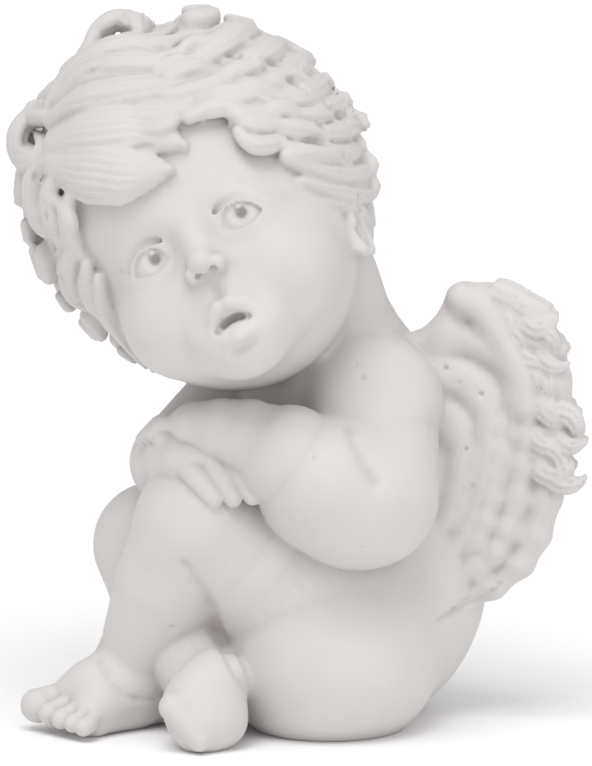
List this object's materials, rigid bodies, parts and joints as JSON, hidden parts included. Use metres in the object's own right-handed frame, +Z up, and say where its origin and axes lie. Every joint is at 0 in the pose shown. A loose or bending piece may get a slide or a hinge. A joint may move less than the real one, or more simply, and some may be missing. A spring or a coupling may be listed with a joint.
{
  "type": "angel figurine",
  "caption": "Plaster figurine of a seated winged cherub resting its tilted head on folded arms, knees drawn up and ankles crossed; shelf or garden ornament.",
  "frame": {"origin": "centre of the bounding box's underside, on the surface the figurine stands on", "axes": "+Z up; -Y towards the viewer of the picture, who sees the face; +X to that viewer's right, where the figure's left wing is"},
  "size_m": [0.1454, 0.14, 0.1802],
  "materials": {
    "plaster": "matte white plaster"
  },
  "bodies": {
    "root": {"angel_figurine": "plaster"}
  },
  "joints": []
}
